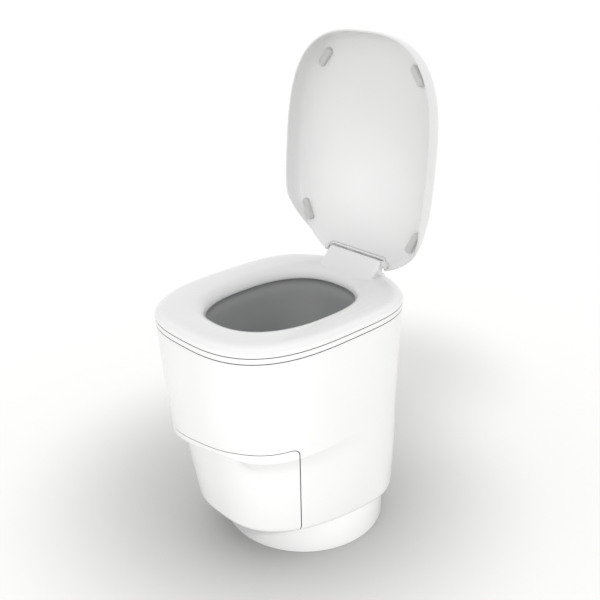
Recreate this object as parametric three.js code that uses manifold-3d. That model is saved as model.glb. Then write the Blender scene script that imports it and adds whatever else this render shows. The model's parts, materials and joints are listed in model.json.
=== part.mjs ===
// Free-standing cassette toilet for a caravan or motorhome.
// Millimetres, +Z up, origin on the floor at the centre of the round foot (the swivel axis).
// The front faces -Y, the lid stands open, the drawer is shut.
import * as THREE from "three";
import { mergeVertices } from "three/addons/utils/BufferGeometryUtils.js";
import Module from "manifold-3d";

const wasm = await Module();
wasm.setup();
const { Manifold, Mesh } = wasm;

const TAU = Math.PI * 2;
const OUTLINE_POINTS = 40;
const GAP = 0.4; // clearance between neighbouring mouldings

// ---------------------------------------------------------------- materials
const MATERIALS = {
  white: { color: 0xf4f4f3, roughness: 0.22, metalness: 0 },
  greyBowl: { color: 0x8d9092, roughness: 0.3, metalness: 0 },
  padGrey: { color: 0xcfd3d4, roughness: 0.5, metalness: 0 },
  tankGrey: { color: 0xb9bec2, roughness: 0.45, metalness: 0 },
  darkGrey: { color: 0x4a4e52, roughness: 0.5, metalness: 0 },
  rubber: { color: 0x1e1f20, roughness: 0.8, metalness: 0 },
  steel: { color: 0xb4b7ba, roughness: 0.3, metalness: 1 },
};

// ---------------------------------------------------------------- solid helpers
function solidFromArrays(points, triangles) {
  const vertProperties = new Float32Array(points.flat());
  const triVerts = new Uint32Array(triangles.flat());
  return new Manifold(new Mesh({ numProp: 3, vertProperties, triVerts }));
}

function solidFromGeometry(geometry) {
  geometry.deleteAttribute("normal");
  geometry.deleteAttribute("uv");
  const merged = mergeVertices(geometry, 1e-4);
  return new Manifold(new Mesh({
    numProp: 3,
    vertProperties: new Float32Array(merged.attributes.position.array),
    triVerts: new Uint32Array(merged.index.array),
  }));
}

// Closed skin over a stack of rings, each [x, y, z][], counter-clockwise from above, lowest first.
function loft(rings) {
  const n = rings[0].length;
  const points = rings.flat();
  const triangles = [];
  for (let k = 0; k + 1 < rings.length; k++) {
    for (let i = 0; i < n; i++) {
      const j = (i + 1) % n;
      const [a, b, c, d] = [k * n + i, k * n + j, (k + 1) * n + j, (k + 1) * n + i];
      triangles.push([a, b, c], [a, c, d]);
    }
  }
  const last = (rings.length - 1) * n;
  const [low, high] = [points.length, points.length + 1];
  points.push(centreOf(rings[0]), centreOf(rings[rings.length - 1]));
  for (let i = 0; i < n; i++) {
    const j = (i + 1) % n;
    triangles.push([low, j, i], [high, last + i, last + j]);
  }
  return solidFromArrays(points, triangles);
}

// Closed ring-shaped skin: the rows follow a closed cross-section once round the opening.
function ringLoft(rows) {
  const n = rows[0].length;
  const triangles = [];
  for (let k = 0; k < rows.length; k++) {
    const m = (k + 1) % rows.length;
    for (let i = 0; i < n; i++) {
      const j = (i + 1) % n;
      triangles.push([k * n + i, k * n + j, m * n + j], [k * n + i, m * n + j, m * n + i]);
    }
  }
  return solidFromArrays(rows.flat(), triangles);
}

function centreOf(ring) {
  const sum = ring.reduce((s, p) => [s[0] + p[0], s[1] + p[1], s[2] + p[2]], [0, 0, 0]);
  return sum.map((v) => v / ring.length);
}

function box(x0, x1, y0, y1, z0, z1) {
  const geometry = new THREE.BoxGeometry(x1 - x0, y1 - y0, z1 - z0);
  geometry.translate((x0 + x1) / 2, (y0 + y1) / 2, (z0 + z1) / 2);
  return solidFromGeometry(geometry);
}

// Cylinder or cone between two levels along an axis; `at` holds the other two coordinates.
function rod(axis, at, from, to, r0, r1 = r0, segments = 24) {
  const geometry = new THREE.CylinderGeometry(r1, r0, to - from, segments);
  geometry.translate(0, (from + to) / 2, 0);
  if (axis === "z") {
    geometry.rotateX(Math.PI / 2);
    geometry.translate(at[0], at[1], 0);
  } else if (axis === "x") {
    geometry.rotateZ(-Math.PI / 2);
    geometry.translate(0, at[0], at[1]);
  } else {
    geometry.translate(at[0], 0, at[1]);
  }
  return solidFromGeometry(geometry);
}

const tube = (axis, at, from, to, inner, outer, segments = 24) =>
  rod(axis, at, from, to, outer, outer, segments)
    .subtract(rod(axis, at, from - 1, to + 1, inner, inner, segments));

// Extrudes a polygon given as [y, z] points along X from x0 to x1.
function prismAlongX(points, x0, x1) {
  const shape = new THREE.Shape(points.map(([y, z]) => new THREE.Vector2(y, z)));
  const geometry = new THREE.ExtrudeGeometry(shape, { depth: x1 - x0, bevelEnabled: false });
  geometry.applyMatrix4(new THREE.Matrix4().set(0, 0, 1, x0, 1, 0, 0, 0, 0, 1, 0, 0, 0, 0, 0, 1));
  return solidFromGeometry(geometry);
}

// Extrudes a polygon given as [x, y] points upwards from z0 to z1.
function prismAlongZ(points, z0, z1) {
  const shape = new THREE.Shape(points.map(([x, y]) => new THREE.Vector2(x, y)));
  const geometry = new THREE.ExtrudeGeometry(shape, { depth: z1 - z0, bevelEnabled: false });
  geometry.translate(0, 0, z0);
  return solidFromGeometry(geometry);
}

const union = (...solids) => solids.reduce((a, b) => a.add(b));
const cut = (solid, ...tools) => tools.reduce((a, b) => a.subtract(b), solid);
const lerp = (a, b, t) => a + (b - a) * t;
const clamp01 = (t) => Math.min(1, Math.max(0, t));
const smooth = (t) => clamp01(t) ** 2 * (3 - 2 * clamp01(t));

// ---------------------------------------------------------------- plan outlines
// Egg-like outline: |x/a|^p + |(y-wide)/L|^q = 1 with its own exponents ahead of and behind `wide`.
function outline(o, inset = 0, points = OUTLINE_POINTS) {
  const ring = [];
  for (let i = 0; i < points; i++) {
    const t = (i / points) * TAU;
    const [c, s] = [Math.cos(t), Math.sin(t)];
    const ahead = s < 0;
    const [p, q] = ahead ? [o.pf, o.qf] : [o.pr, o.qr];
    const reach = (ahead ? o.wide - o.front : o.rear - o.wide) - inset;
    const x = (o.a - inset) * Math.sign(c) * Math.abs(c) ** (2 / p);
    ring.push([x, o.wide + reach * Math.sign(s) * Math.abs(s) ** (2 / q)]);
  }
  return ring;
}

const atHeight = (ring, z) => ring.map(([x, y]) => [x, y, z]);
const mix = (r, s, t) => r.map((p, i) => p.map((v, k) => lerp(v, s[i][k], t)));

const SEAT_EDGE = { a: 190, front: -298.5, rear: 183, wide: -41, pf: 2.81, qf: 3.13, pr: 2.0, qr: 3.49 };
const SEAT_HOLE = { a: 112, front: -214.5, rear: 97, wide: -54.5, pf: 2.4, qf: 2.5, pr: 2.4, qr: 2.5 };
const BAND_BASE = 488.5; // lower seam
const BAND_TOP = 500; // upper seam
const CREASE = 277; // where the wide upper shell steps in to the lower body
const BODY_BASE = 80;
const WALL = 4.5;

// Upper shell outline: tapers gently inwards from the band down to the crease.
function upperOutline(z) {
  const s = (BAND_BASE - z) / (BAND_BASE - CREASE);
  return {
    ...SEAT_EDGE,
    a: 189 - 5 * s,
    front: -297 + 10 * s + 11 * s * s,
    rear: 182 - 4 * s,
    wide: -41 + 2.5 * s,
  };
}

// Lower body outline: its front slopes back towards the floor while its sides spread a little.
function lowerOutline(z) {
  const t = (CREASE - z) / (CREASE - BODY_BASE);
  return {
    a: 180 + 6.5 * t,
    front: -260 + 28 * t,
    rear: 178 - 7 * t,
    wide: -1 + 36 * t,
    pf: 2.8,
    qf: 3.1 - 1.2 * t,
    pr: 2.0 - 0.1 * t,
    qr: 3.49 - 1.49 * t,
  };
}

// Height of the crease: level round the sides, dipping to -X along the finger grip at the front.
function creaseHeight(x, y) {
  const grip = smooth((-y - 170) / 60);
  return lerp(CREASE, Math.min(CREASE, 265.5 + 0.19 * x), grip);
}

// One ring of the body skin, `depth` below the crease, blending the wide shell into the lower body.
function ringBelowCrease(depth, inset, lift) {
  const wide = outline(upperOutline(CREASE), inset);
  return wide.map(([x, y], i) => {
    const z = creaseHeight(x, y) - depth;
    const [lx, ly] = outline(lowerOutline(z), inset)[i];
    const grip = smooth((-y - 200) / 32) * smooth((115 - x) / 30);
    const step = lerp(smooth(depth / 45), Math.min(1, depth / 5), grip);
    const rearFade = smooth((y + 60) / 60) * (1 - smooth(depth / 150));
    const t = step * (1 - rearFade);
    return [lerp(x, lx, t), lerp(y, ly, t), z + lift];
  });
}

// Full body envelope. A positive inset gives the inner wall.
function bodyEnvelope(inset, base, top) {
  const round = 14 - inset;
  const rings = [0, 45, 90].map((deg) => {
    const r = (deg * Math.PI) / 180;
    const z = base + round * (1 - Math.cos(r));
    return atHeight(outline(lowerOutline(z), inset + round * (1 - Math.sin(r))), z);
  });
  for (const z of [130]) rings.push(atHeight(outline(lowerOutline(z), inset), z));
  const lift = inset > 0 ? 4 : 0;
  for (const depth of [80, 45, 25, 5, 0]) rings.push(ringBelowCrease(depth, inset, lift));
  for (const z of [320, 400, top]) rings.push(atHeight(outline(upperOutline(z), inset), z));
  return loft(rings);
}

// ---------------------------------------------------------------- drawer doorway
const SEAM_SLOPE = 0.155; // the panel's top seam climbs towards +X
const SEAM_CENTRE = 279.5;
const SEAM_SIDE_X = 172;

// Everything ahead of the drawer seam; `gap` pulls it back to make the panel itself.
function doorway(gap) {
  const rise = SEAM_SLOPE * SEAM_SIDE_X;
  const edge = (z) => -149.5 - 26.5 * clamp01((z + rise - 96) / 188) ** 1.8 - gap;
  const top = SEAM_CENTRE - gap;
  const profile = [[-400, 40], [edge(60), 40]];
  for (let z = 60; z < top - 14; z += 14) profile.push([edge(z), z]);
  const corner = 10;
  for (const deg of [0, 30, 60, 90]) {
    const r = (deg * Math.PI) / 180;
    profile.push([
      edge(top - corner) - corner * (1 - Math.cos(r)),
      top - corner * (1 - Math.sin(r)),
    ]);
  }
  profile.push([-400, top]);
  const prism = prismAlongX(profile, -230, 230);
  return prism.warp((v) => {
    v[2] += SEAM_SLOPE * v[0];
  });
}

const OUTER = bodyEnvelope(0, BODY_BASE, BAND_BASE - GAP / 2);
const INNER = bodyEnvelope(WALL, BODY_BASE + WALL, BAND_BASE + 10);
const BODY_SKIN = OUTER.subtract(INNER);

// ---------------------------------------------------------------- foot and turntable
const FOOT_TOP = 77;
const HUB_HOLE_R = 46;
const SCREW_CIRCLE = 130;

function footShell() {
  const outer = union(
    rod("z", [0, 0], 0, FOOT_TOP - 4, 173, 170.2, 60),
    rod("z", [0, 0], FOOT_TOP - 4, FOOT_TOP, 170.2, 167, 60),
  );
  const inner = rod("z", [0, 0], -1, FOOT_TOP - 5, 169, 166, 60);
  return cut(outer, inner, rod("z", [0, 0], 60, 90, HUB_HOLE_R, HUB_HOLE_R, 32));
}

function screwPlaces() {
  return [45, 135, 225, 315].map((deg) => {
    const r = (deg * Math.PI) / 180;
    return [SCREW_CIRCLE * Math.cos(r), SCREW_CIRCLE * Math.sin(r)];
  });
}

function floorPlate() {
  const plate = union(
    rod("z", [0, 0], 0, 5, 168, 168, 48),
    rod("z", [0, 0], 5, 40, 30, 26, 32),
    ...screwPlaces().map((at) => rod("z", at, 5, 9, 12, 12, 12)),
  );
  return cut(plate, ...screwPlaces().map((at) => rod("z", at, -1, 10, 3.2, 3.2, 12)));
}

const floorScrew = (at) =>
  union(rod("z", at, 0.5, 9.5, 2.8, 2.8, 12), rod("z", at, 9.3, 12.8, 6, 4.6, 12));

const glideRing = () => tube("z", [0, 0], FOOT_TOP + 0.3, BODY_BASE - 0.3, 118, 148, 48);

function turntableHub() {
  const disc = rod("z", [0, 0], BODY_BASE + WALL + 0.3, BODY_BASE + WALL + 3.3, 88, 88, 32);
  const neck = rod("z", [0, 0], 55, BODY_BASE + WALL + 1, 43, 43, 32);
  return cut(union(disc, neck), rod("z", [0, 0], 50, 100, 36, 36, 32));
}

const hubNut = () => tube("z", [0, 0], 58, FOOT_TOP - 5.4, 43.3, 58, 32);

// ---------------------------------------------------------------- main body
const BUTTON = { y: 40, z: 440, x: -187.6 };
const INLET = { x: 95, z: 118 };
const COVER = { halfWidth: 72, low: 130, high: 430 };

function bodyShell() {
  return cut(
    BODY_SKIN,
    doorway(0),
    rod("z", [0, 0], 70, 95, 62, 62, 32),
    rod("x", [BUTTON.y, BUTTON.z], -215, -160, 14.6, 14.6, 24),
    rod("y", [INLET.x, INLET.z], 120, 200, 9.6, 9.6, 24),
    box(-COVER.halfWidth, COVER.halfWidth, 120, 220, COVER.low, COVER.high),
  );
}

function rearCover() {
  const { halfWidth, low, high } = COVER;
  const panel = BODY_SKIN.intersect(
    box(-halfWidth + 0.8, halfWidth - 0.8, 120, 220, low + 0.8, high - 0.8),
  );
  const slots = [0, 1, 2, 3, 4].map((k) => box(-34, 34, 120, 220, 372 + k * 9, 376 + k * 9));
  return cut(panel, ...slots);
}

const powerInlet = () =>
  cut(
    union(
      rod("y", [INLET.x, INLET.z], 134, 160, 9.2, 9.2, 24),
      rod("y", [INLET.x, INLET.z], 142, 160, 12.5, 11.5, 24).subtract(
        bodyEnvelope(-0.35, BODY_BASE - 0.35, 400),
      ),
    ),
    rod("y", [INLET.x, INLET.z], 138, 170, 4, 4, 20),
  );

// Ring between the two seams, with the deck plate that carries the bowl.
const DECK_TOP = 493;
const SEAT_PIVOT = { y: 190, z: 500 };

function bandRing() {
  const rise = BAND_TOP - GAP / 2;
  const base = BAND_BASE + GAP / 2;
  const outer = loft([
    atHeight(outline(SEAT_EDGE, 1), base),
    atHeight(outline(SEAT_EDGE, 0), base + 1.2),
    atHeight(outline(SEAT_EDGE, 0), rise - 1),
    atHeight(outline(SEAT_EDGE, 0.8), rise),
  ]);
  const room = loft([
    atHeight(outline(SEAT_EDGE, 6), DECK_TOP),
    atHeight(outline(SEAT_EDGE, 6), 510),
  ]);
  const bowlHole = loft([
    atHeight(outline(SEAT_HOLE, -10), 480),
    atHeight(outline(SEAT_HOLE, -10), 510),
  ]);
  const knuckles = [-1, 1].flatMap((side) => {
    const [x0, x1] = side < 0 ? [-45, -20.4] : [20.4, 45];
    return [
      box(x0, x1, 174, 190, 494.5, 499.4),
      rod("x", [SEAT_PIVOT.y, SEAT_PIVOT.z], x0, x1, 5, 5, 24),
    ];
  });
  const bore = rod("x", [SEAT_PIVOT.y, SEAT_PIVOT.z], -60, 60, 2.05, 2.05, 16);
  return cut(union(cut(outer, room, bowlHole), ...knuckles), bore);
}

const seatHingePin = () => rod("x", [SEAT_PIVOT.y, SEAT_PIVOT.z], -44.5, 44.5, 2, 2, 16);

// ---------------------------------------------------------------- bowl and blade valve
const OUTLET = { x: 0, y: -45, r: 48 };
const VALVE = { low: 274, high: 294, half: 72, front: -112, rear: 150 };

function outletRing(radius, z) {
  return atHeight(outline({
    a: radius, front: OUTLET.y - radius, rear: OUTLET.y + radius, wide: OUTLET.y,
    pf: 2, qf: 2, pr: 2, qr: 2,
  }), z);
}

// Inner bowl wall: [height, outset from the seat hole, share of the way to the round outlet].
const BOWL_PROFILE = [
  [495.3, 4.6, 0], [484, 4.2, 0], [470, 0, 0.03], [440, -3, 0.14], [400, -3, 0.4],
  [355, 0, 0.78], [320, 0, 1],
];

function bowlRing([z, outset, share], extra) {
  const rim = atHeight(outline(SEAT_HOLE, -outset - extra), z);
  return mix(rim, outletRing(OUTLET.r + extra, z), share);
}

function bowl() {
  const inside = BOWL_PROFILE.map((row) => bowlRing(row, 0));
  const outside = BOWL_PROFILE.slice(2).reverse().map((row) => bowlRing(row, 3));
  const rows = [
    ...inside,
    outletRing(OUTLET.r, VALVE.high + 3),
    outletRing(OUTLET.r + 3, VALVE.high + 3),
    ...outside,
    atHeight(outline(SEAT_HOLE, -7.4), 484),
    atHeight(outline(SEAT_HOLE, -7.4), DECK_TOP + 0.3),
    atHeight(outline(SEAT_HOLE, -20), DECK_TOP + 0.3),
    atHeight(outline(SEAT_HOLE, -20), 495.3),
  ];
  return ringLoft(rows);
}

const GEAR_MODULE = 2;
const PINION_TEETH = 12;
const PINION_R = (GEAR_MODULE * PINION_TEETH) / 2;
const RACK_LINE = -62;
const PINION = { x: RACK_LINE - PINION_R, y: 18 };
const GEAR_LOW = VALVE.low + 9;

function valveHousing() {
  const { low, high, half, front, rear } = VALVE;
  const block = union(
    box(-half, half, front, rear, low, high),
    box(-96, -half + 4, -4, 40, high - 3, high),
    tube("z", [OUTLET.x, OUTLET.y], high - 1, high + 9, 52, 56, 32),
  );
  return cut(
    block,
    box(-half + 5, half - 5, front + 5, rear - 5, low + 4, high - 3.6),
    rod("z", [OUTLET.x, OUTLET.y], low - 1, high + 1, OUTLET.r, OUTLET.r, 32),
    box(-half - 2, -half + 8, 0, 36, low + 4, high - 3.6),
    rod("z", [PINION.x, PINION.y], high - 5, high + 1, 5, 5, 20),
  );
}

const valveSeal = () =>
  tube("z", [OUTLET.x, OUTLET.y], VALVE.low - 3.6, VALVE.low - 0.3, OUTLET.r, 56, 32);

const valveBlade = () => box(-56, 64, -106, 24, VALVE.low + 5.2, VALVE.low + 8.6);

function valveRack() {
  const pitch = Math.PI * GEAR_MODULE;
  const tip = RACK_LINE - 1.6;
  const root = RACK_LINE + 2;
  const teeth = [];
  for (let k = 0; k < 19; k++) {
    const y = PINION.y + pitch * (1 - k);
    teeth.push(prismAlongZ([
      [root + 1, y + 2.0], [root, y + 2.0], [tip, y + 0.75],
      [tip, y - 0.75], [root, y - 2.0], [root + 1, y - 2.0],
    ], GEAR_LOW, GEAR_LOW + 6));
  }
  return union(box(root + 0.4, root + 10, -104, 24, GEAR_LOW, GEAR_LOW + 6), ...teeth);
}

// Spur gear whose tooth gap faces the rack at rest.
function drivePinion() {
  const points = [];
  for (let k = 0; k < PINION_TEETH; k++) {
    const mid = ((k + 0.5) * TAU) / PINION_TEETH;
    for (const [r, half] of [[9.4, 0.2], [PINION_R, 0.112], [13.7, 0.05]]) {
      points.push([r, mid - half]);
    }
    for (const [r, half] of [[13.7, 0.05], [PINION_R, 0.112], [9.4, 0.2]]) {
      points.push([r, mid + half]);
    }
  }
  const ring = points.map(([r, t]) => [PINION.x + r * Math.cos(t), PINION.y + r * Math.sin(t)]);
  return union(
    prismAlongZ(ring, GEAR_LOW + 0.3, GEAR_LOW + 6.6),
    rod("z", [PINION.x, PINION.y], GEAR_LOW + 6, VALVE.high + 10, 2.5, 2.5, 16),
  );
}

function valveMotor() {
  const at = [PINION.x, PINION.y];
  const base = VALVE.high + 0.4;
  return cut(
    union(rod("z", at, base, base + 50, 15, 15, 24), rod("z", at, base + 49, base + 54, 5, 5, 16)),
    rod("z", at, base - 2, base + 14, 3.1, 3.1, 16),
  );
}

// ---------------------------------------------------------------- control button
function buttonBezel() {
  const at = [BUTTON.y, BUTTON.z];
  return union(
    tube("x", at, BUTTON.x - 2, -176, 11.5, 14.2, 24),
    tube("x", at, BUTTON.x - 3.2, BUTTON.x - 1.2, 11.5, 17.5, 24),
  );
}

const controlButton = () =>
  union(
    rod("x", [BUTTON.y, BUTTON.z], BUTTON.x - 4.4, -178, 11, 11, 24),
    rod("x", [BUTTON.y, BUTTON.z], -179, -172, 3, 3, 16),
  );

const buttonSwitch = () => box(-167.6, -155, BUTTON.y - 12, BUTTON.y + 12, BUTTON.z - 12, BUTTON.z + 12);

// ---------------------------------------------------------------- seat
// Seat cross-section from its outer foot over the crown into the throat and back underneath.
const CROWN = [
  [500.2, 0.6], [501.2, 0], [504, 0], [508.3, 2], [511.4, 5], [515.8, 9.4], [518.9, 16], [520, 27],
];
const THROAT = [[519.6, 44], [518, 31], [514, 17], [507.5, 7], [500, 1.6], [492.4, 0]];
const UNDERSIDE_THROAT = [[492.4, 3.2], [501, 5.4], [508.5, 12], [513.4, 23]];
const UNDERSIDE_EDGE = [[515.4, 27], [512, 12], [506, 5.6], [500.2, 4.6]];

const HINGE = { halfWidth: 72.6, radius: 6.4, rodR: 3.2 };
const LID_RIM_CLOSED = 509.5;
const LID_OPEN_ANGLE = (93.85 * Math.PI) / 180;

// The pivot is where turning the shut rim plane by the opening angle lands it on the open one.
function lidPivot() {
  const [shutY, shutZ] = [-41, LID_RIM_CLOSED];
  const [openY, openZ] = [129.7, 737.2];
  const [midY, midZ] = [(shutY + openY) / 2, (shutZ + openZ) / 2];
  const k = 1 / (2 * Math.tan(LID_OPEN_ANGLE / 2));
  return { y: midY + (openZ - shutZ) * k, z: midZ - (openY - shutY) * k };
}
const PIVOT = lidPivot();

function seatDeck() {
  const fromEdge = ([z, inset]) => atHeight(outline(SEAT_EDGE, inset), z);
  const fromHole = ([z, outset]) => atHeight(outline(SEAT_HOLE, -outset), z);
  const ring = ringLoft([
    ...CROWN.map(fromEdge),
    ...THROAT.map(fromHole),
    ...UNDERSIDE_THROAT.map(fromHole),
    ...UNDERSIDE_EDGE.map(fromEdge),
  ]);
  const y = PIVOT.y;
  const block = prismAlongX([
    [106, 516.5], [112, 521], [y - 14, PIVOT.z + 1], [y - 6, PIVOT.z + HINGE.radius - 1.2],
    [y, PIVOT.z + HINGE.radius], [y + 5, PIVOT.z + 4], [y + HINGE.radius, PIVOT.z],
    [y + 9, 520], [y + 9, 516.5],
  ], -HINGE.halfWidth, HINGE.halfWidth);
  const hollow = prismAlongX([
    [112, 512], [118, 517.5], [y - 11, PIVOT.z - 8], [y + 4, PIVOT.z - 8], [y + 6, 512],
  ], -HINGE.halfWidth + 3.5, HINGE.halfWidth - 3.5);
  const knuckle = union(
    box(-20, 20, 175, 190, 500.6, 504.6),
    rod("x", [SEAT_PIVOT.y, SEAT_PIVOT.z], -20, 20, 5, 5, 24),
  );
  const lidBore = rod("x", [y, PIVOT.z], -90, 90, HINGE.rodR + 0.08, HINGE.rodR + 0.08, 24);
  const pinBore = rod("x", [SEAT_PIVOT.y, SEAT_PIVOT.z], -60, 60, 2.08, 2.08, 16);
  return cut(union(cut(union(ring, block), hollow), knuckle), lidBore, pinBore);
}

const SEAT_BUFFERS = [[-135, -190], [135, -190], [-140, 95], [140, 95]];
const seatBuffer = ([x, y]) => rod("z", [x, y], DECK_TOP + 0.3, 511, 7, 7, 20);

// ---------------------------------------------------------------- lid, drawn shut
const LID_RIM = { a: 188.6, front: -298, rear: 180.7, wide: -41, pf: 2.76, qf: 3.19, pr: 2.12, qr: 3.09 };
const LID_DEPTH = 44;
const LID_WALL = 3.6;
// Dish profile: [height above the rim, inset from the rim outline].
const DISH = [[-1, 0], [12, 0.6], [24, 2.6], [33, 6.5], [39, 13], [42.5, 24], [44, 44]];

function lidDish(shrink, drop) {
  return loft(DISH.map(([h, inset], k) => {
    const z = LID_RIM_CLOSED + h - (k === 0 ? 4 : drop * clamp01(h / LID_DEPTH));
    return atHeight(outline(LID_RIM, inset + shrink), z);
  }));
}

// The rim curves up towards the hinge, so the skirt dies out at the rear.
const rimRise = (y) => 17.86 * (Math.max(0, y - LID_RIM.wide - 36) / 100) ** 2;

function belowRim() {
  const profile = [[-340, LID_RIM_CLOSED - 30], [230, LID_RIM_CLOSED - 30]];
  for (let y = 230; y >= -10; y -= 16) profile.push([y, LID_RIM_CLOSED + rimRise(y)]);
  profile.push([-340, LID_RIM_CLOSED]);
  return prismAlongX(profile, -230, 230);
}

function lidShell() {
  const dish = cut(lidDish(0, 0), lidDish(LID_WALL, LID_WALL), belowRim());
  const notch = box(-HINGE.halfWidth - 3.4, HINGE.halfWidth + 3.4, PIVOT.y - 15, 240, 500, 600);
  const lugs = [-1, 1].map((side) => {
    const x = side * (HINGE.halfWidth + 7.2);
    return union(
      box(x - 4.8, x + 4.8, PIVOT.y - 9, PIVOT.y + 7, PIVOT.z, LID_RIM_CLOSED + LID_DEPTH - 2),
      rod("x", [PIVOT.y, PIVOT.z], x - 4.8, x + 4.8, 7, 7, 24),
    );
  });
  const bore = rod("x", [PIVOT.y, PIVOT.z], -100, 100, HINGE.rodR + 0.06, HINGE.rodR + 0.06, 24);
  return cut(union(cut(dish, notch), ...lugs), bore);
}

const lidHingeRod = () =>
  rod("x", [PIVOT.y, PIVOT.z], -HINGE.halfWidth - 11.4, HINGE.halfWidth + 11.4, HINGE.rodR, HINGE.rodR, 24);

// Pads under the lid: [x, y when shut, turn in degrees, length, width].
const LID_BUMPERS = [
  [-121, -240, -40, 40, 13], [121, -240, 40, 40, 13], [-144, 86, 48, 50, 15], [144, 86, -48, 50, 15],
];

function lidBumper([x, y, turn, length, width]) {
  const top = LID_RIM_CLOSED + LID_DEPTH - LID_WALL - 0.8;
  const ring = [];
  for (let i = 0; i < 20; i++) {
    const t = ((i + 0.5) / 20) * TAU;
    const shift = ((length - width) / 2) * Math.sign(Math.cos(t) || 1);
    ring.push([shift + (width / 2) * Math.cos(t), (width / 2) * Math.sin(t)]);
  }
  const pad = loft([
    atHeight(ring.map(([u, v]) => [u * 0.86, v * 0.66]), 539.6),
    atHeight(ring.map(([u, v]) => [u * 0.97, v * 0.92]), 541),
    atHeight(ring, 543.4),
    atHeight(ring, top),
  ]);
  const placed = pad.rotate([0, 0, turn]).translate([x, y, 0]);
  return cut(placed, lidSkinClearance());
}

// Everything within a hair of the lid's skin, so a pad never bites into it.
function lidSkinClearance() {
  return box(-300, 300, -400, 300, 480, 620).subtract(lidDish(LID_WALL + 0.4, LID_WALL + 0.4));
}

// ---------------------------------------------------------------- drawer
const TRAY = { a: 130, front: -206, rear: 126, wide: -20, pf: 3.2, qf: 2.6, pr: 7, qr: 7 };
const TRAY_BASE = 92;
const RAIL_FRONT = -95;
const RAIL_REAR = 98;
const RAIL_Z = 106;

function drawerFront() {
  const panel = BODY_SKIN.intersect(doorway(1.1));
  const brackets = [-70, 70].map((x) =>
    box(x - 8, x + 8, -234, TRAY.front + 30, 112, 118).intersect(OUTER).subtract(trayBlock()),
  );
  return union(panel, ...brackets);
}

// Room kept clear for the tray and the tank standing in it.
function trayBlock() {
  return loft([
    atHeight(outline(TRAY, -GAP), TRAY_BASE - 1),
    atHeight(outline(TRAY, -GAP), 200),
  ]);
}

function drawerTray() {
  const outer = loft([
    atHeight(outline(TRAY, 6), TRAY_BASE),
    atHeight(outline(TRAY, 0), TRAY_BASE + 6),
    atHeight(outline(TRAY, 0), 136),
  ]);
  const inner = loft([
    atHeight(outline(TRAY, 9), TRAY_BASE + 3),
    atHeight(outline(TRAY, 3), TRAY_BASE + 9),
    atHeight(outline(TRAY, 3), 150),
  ]);
  return outer.subtract(inner);
}

// Three-part telescopic runner, drawn for +X and mirrored for -X.
function runnerPart(part, side) {
  const [y0, y1] = [RAIL_FRONT, RAIL_REAR];
  const shapes = {
    inner: () => box(130.4, 136.8, y0, y1, RAIL_Z - 4, RAIL_Z + 4),
    middle: () => cut(
      box(133.4, 138.9, y0, y1, RAIL_Z - 6, RAIL_Z + 6),
      box(130, 137.4, y0 - 1, y1 + 1, RAIL_Z - 4.5, RAIL_Z + 4.5),
    ),
    outer: () => union(
      cut(
        box(135, 141.4, y0, y1, RAIL_Z - 8, RAIL_Z + 8),
        box(130, 139.5, y0 - 1, y1 + 1, RAIL_Z - 6.5, RAIL_Z + 6.5),
      ),
      box(139.9, 141.4, y0, y1, 86.6, RAIL_Z),
      box(139.9, 150, y0 + 10, y1 - 16, 85.2, 87),
    ),
  };
  const solid = shapes[part]();
  return side > 0 ? solid : solid.mirror([1, 0, 0]);
}

const catchPlate = () => box(-10, 10, 130.5, 136, 100, 122);
const magnetCatch = () =>
  union(box(-14, 14, 137, 150, 98, 124), box(-14, 14, 137, 156, 84.9, 99));

// ---------------------------------------------------------------- waste cassette
const TANK_TOP = 252;
const SPOUT = { x: 92, y: -150, z: 258, r: 16, length: 120 };
const HANDLE = { y: -176, z: 261, half: 56 };
const VENT = { x: -88, y: 70 };

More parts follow.
